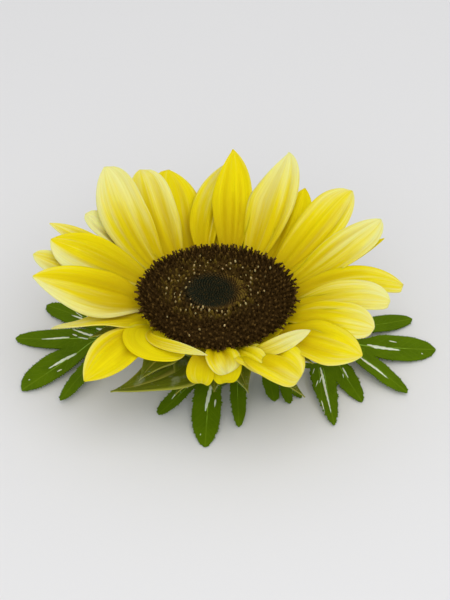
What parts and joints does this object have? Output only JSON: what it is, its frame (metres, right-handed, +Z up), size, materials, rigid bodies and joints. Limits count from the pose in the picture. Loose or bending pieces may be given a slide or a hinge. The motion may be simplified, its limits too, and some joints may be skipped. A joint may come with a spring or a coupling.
{
  "type": "cut sunflower head",
  "caption": "Cut sunflower head with raised and curled ray petals, a dark dimpled disc, a green calyx and a short stem stub with spread lobed leaves.",
  "frame": {"origin": "middle of the stem's flat cut end, on the surface that the flower stands on", "axes": "+Z up out of the face of the flower, -Y the side where the ray petals curl down, +X to the right of a viewer in front of it"},
  "size_m": [0.166, 0.113, 0.0599],
  "materials": {
    "petal_yellow": "soft matt petal",
    "disc_brown": "rough, made of small florets",
    "calyx_green": "matt, short hairs",
    "leaf_green": "matt leaf",
    "stem_green": "matt, short hairs"
  },
  "bodies": {
    "root": {"stem": "stem_green", "calyx": "calyx_green", "ray_petals": "petal_yellow", "disc": "disc_brown", "leaf_left": "leaf_green", "leaf_right": "leaf_green", "leaf_right_front": "leaf_green", "leaf_front": "leaf_green", "leaf_front_small": "leaf_green", "leaf_back_left": "leaf_green", "leaf_back_right": "leaf_green"}
  },
  "joints": []
}
